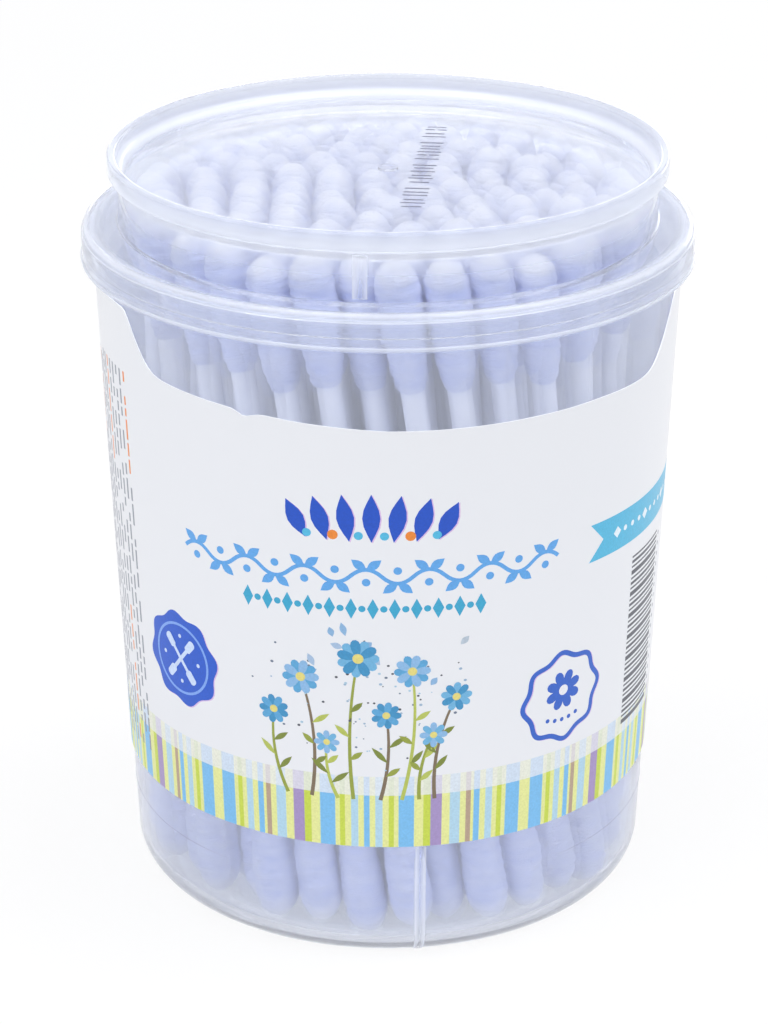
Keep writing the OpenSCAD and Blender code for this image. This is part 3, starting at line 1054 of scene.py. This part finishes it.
# A meadow of daisies on upright stems, with speckles and loose petals over it
def makeMeadow(pile, stock):
    p = printSize
    chance = random.Random(21)
    ground = 20.3
    # foot, top, bow, size of the bloom, petals
    plants = [(-10.6, (-11.9, 29.2), 0.7, 3.3, 9), (-8.0, (-8.9, 33.4), -0.8, 3.9, 10),
              (-5.2, (-6.3, 26.2), 0.5, 2.7, 8), (-3.6, (-3.0, 36.0), 0.6, 4.3, 11),
              (-0.8, (-0.2, 29.6), -0.5, 3.1, 9), (1.4, (2.4, 34.6), -0.7, 3.7, 10),
              (3.2, (4.6, 27.2), 0.5, 2.9, 8), (4.8, (6.9, 31.4), 0.8, 3.3, 9)]
    stems = [p["olive"], p["bark"], p["moss"]]
    greens = [p["olive"], p["moss"], p["sage"]]
    for index, (foot, top, bow, size, petals) in enumerate(plants):
        ink = stems[index % 3]
        start = Vector((foot, ground - 0.6))
        end = Vector(top)
        side = ribbonStamp(pile, start, end, bow, 0.42, ink, 0.3 * index)
        for t, way in ((0.28, 1), (0.44, -1), (0.62, 1)):
            at = start.lerp(end, t) + side * bow * 4 * t * (1 - t)
            lean = 90 - way * chance.uniform(38, 58)
            long = chance.uniform(1.6, 2.5)
            reach = Vector((math.cos(math.radians(lean)), math.sin(math.radians(lean)))) * long / 2
            stamp(pile, stock["leaf"], at + reach, (long, 0.62), lean, chance.choice(greens), 3 + 0.2 * index)
        tones = [p["blooms"][index % 4], p["blooms"][(index + 1) % 4]]
        daisy(pile, stock, top, size, petals, tones, p["heart"], 5 + 0.3 * index, chance.uniform(0, 40))
    for i in range(10):
        at = (chance.uniform(-13, 8), chance.uniform(33, 39.3))
        stamp(pile, stock["leaf"], at, (chance.uniform(0.9, 1.6), 0.7), chance.uniform(0, 180),
              chance.choice(p["petals"]), 0.2 * i)
    for i in range(90):
        at = (chance.gauss(-2.2, 5.6), chance.gauss(31.5, 4.2))
        if 23 < at[1] < 39.5 and -14.5 < at[0] < 9.5:
            size = chance.uniform(0.14, 0.36)
            stamp(pile, stock["dot"], at, (size, size * 0.8), 0, chance.choice(p["specks"]), 0.1 + 0.02 * i)


# Columns of fine broken lines that run up the film
def makeSmallPrint(pile, stock):
    p = printSize
    chance = random.Random(8)
    for column in range(13):
        x = alongFilm(-62.5) - column * 1.02
        z = 61.0 if column < 8 else 60.0
        lead = column % 5 == 0
        while z > 18:
            long = chance.uniform(0.7, 2.6)
            ink = p["orange"] if lead and z > 50 or column == 3 and z < 34 else p["grey"]
            stamp(pile, stock["bar"], (x, z - long / 2), (0.34, long), 0, ink)
            z -= long + chance.choice([0.38, 0.38, 0.45, 1.6])


# Joins a pile of stamps, cuts it so that it can bend, and wraps it on the film
def wrapPrint(pile, name, material):
    p = printSize
    sheet = joinPieces(pile, name)
    setMode("EDIT")
    xs = [corner.co.x for corner in sheet.data.vertices]
    ys = [corner.co.y for corner in sheet.data.vertices]
    for axis, values in ((0, xs), (1, ys)):
        step = p["cut"] * (1 + axis)     # twice as long up the wall, which is nearly straight
        for k in range(math.ceil(min(values) / step), math.ceil(max(values) / step)):
            cutAcross(axis, k * step)
    setMode("OBJECT")
    for corner in sheet.data.vertices:
        azimuth = math.degrees(corner.co.x / labelSize["flatRadius"])
        corner.co = onLabel(azimuth, corner.co.y, p["lift"] + corner.co.z * p["layer"])
    thicken(sheet, p["thick"])
    smoothFaces(sheet)
    sheet.data.materials.append(material)
    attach(sheet, "tub")


def makePrint(material):
    stock = printStock()
    for name, makers in (("print_ornaments", [makeHeadline, makeVine, makeBeads]),
                         ("print_badges", [makeBadges, makeRibbon, makeLines]),
                         ("print_meadow", [makeMeadow]),
                         ("print_small_lines", [makeSmallPrint])):
        pile = []
        for make in makers:
            make(pile, stock)
        wrapPrint(pile, name, material)
    removePieces(stock.values())


# A row of short ink strokes on the lid's panel, in mm; every seventh place is empty
strokeSize = {"from": (2.3, -12.8), "to": (5.3, 15.3), "count": 25, "long": 2.5, "thick": 0.3,
              "ink": "#454A68", "gap": 0.002, "rise": 0.012}


def makeLidStrokes(material):
    s = strokeSize
    deselectAll()
    bpy.ops.mesh.primitive_plane_add(size=1)
    bar = bpy.context.object
    pile = []
    chance = random.Random(4)
    start, end = Vector(s["from"]), Vector(s["to"])
    lean = math.degrees(math.atan2(end.y - start.y, end.x - start.x)) - 90
    across = Vector((math.cos(math.radians(lean)), math.sin(math.radians(lean))))
    for i in range(s["count"]):
        if i % 7 == 6:
            continue
        at = start.lerp(end, (i + chance.uniform(-0.15, 0.15)) / (s["count"] - 1))
        split = chance.choice([0, 0, 1])
        for side in ((-0.26, 0.26) if split else (0,)):
            long = s["long"] * (0.4 if split else chance.choice([1, 1, 0.8]))
            stamp(pile, bar, at + across * side * s["long"], (long, s["thick"]), lean, s["ink"])
    strokes = joinPieces(pile, "lid_ink_strokes")
    for corner in strokes.data.vertices:
        corner.co = Vector((corner.co.x, corner.co.y, lidSize["panel"] + s["gap"])) * mm
    thicken(strokes, s["rise"])
    strokes.data.materials.append(material)
    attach(strokes, "lid")
    removePieces([bar])


makeCamera()
makeStudio()
print("studio set")
plastic = milkyPolypropylene()
film = whiteFilm()
ink = printedInk()
makeTub(plastic)
makeLid(plastic)
print("tub and lid turned")
makeBuds(woundCotton(), extrudedStick())
print("buds wound")
makeLabel(film)
makeStripes(ink)
makePrint(ink)
makeLidStrokes(ink)
print("label wrapped and printed")
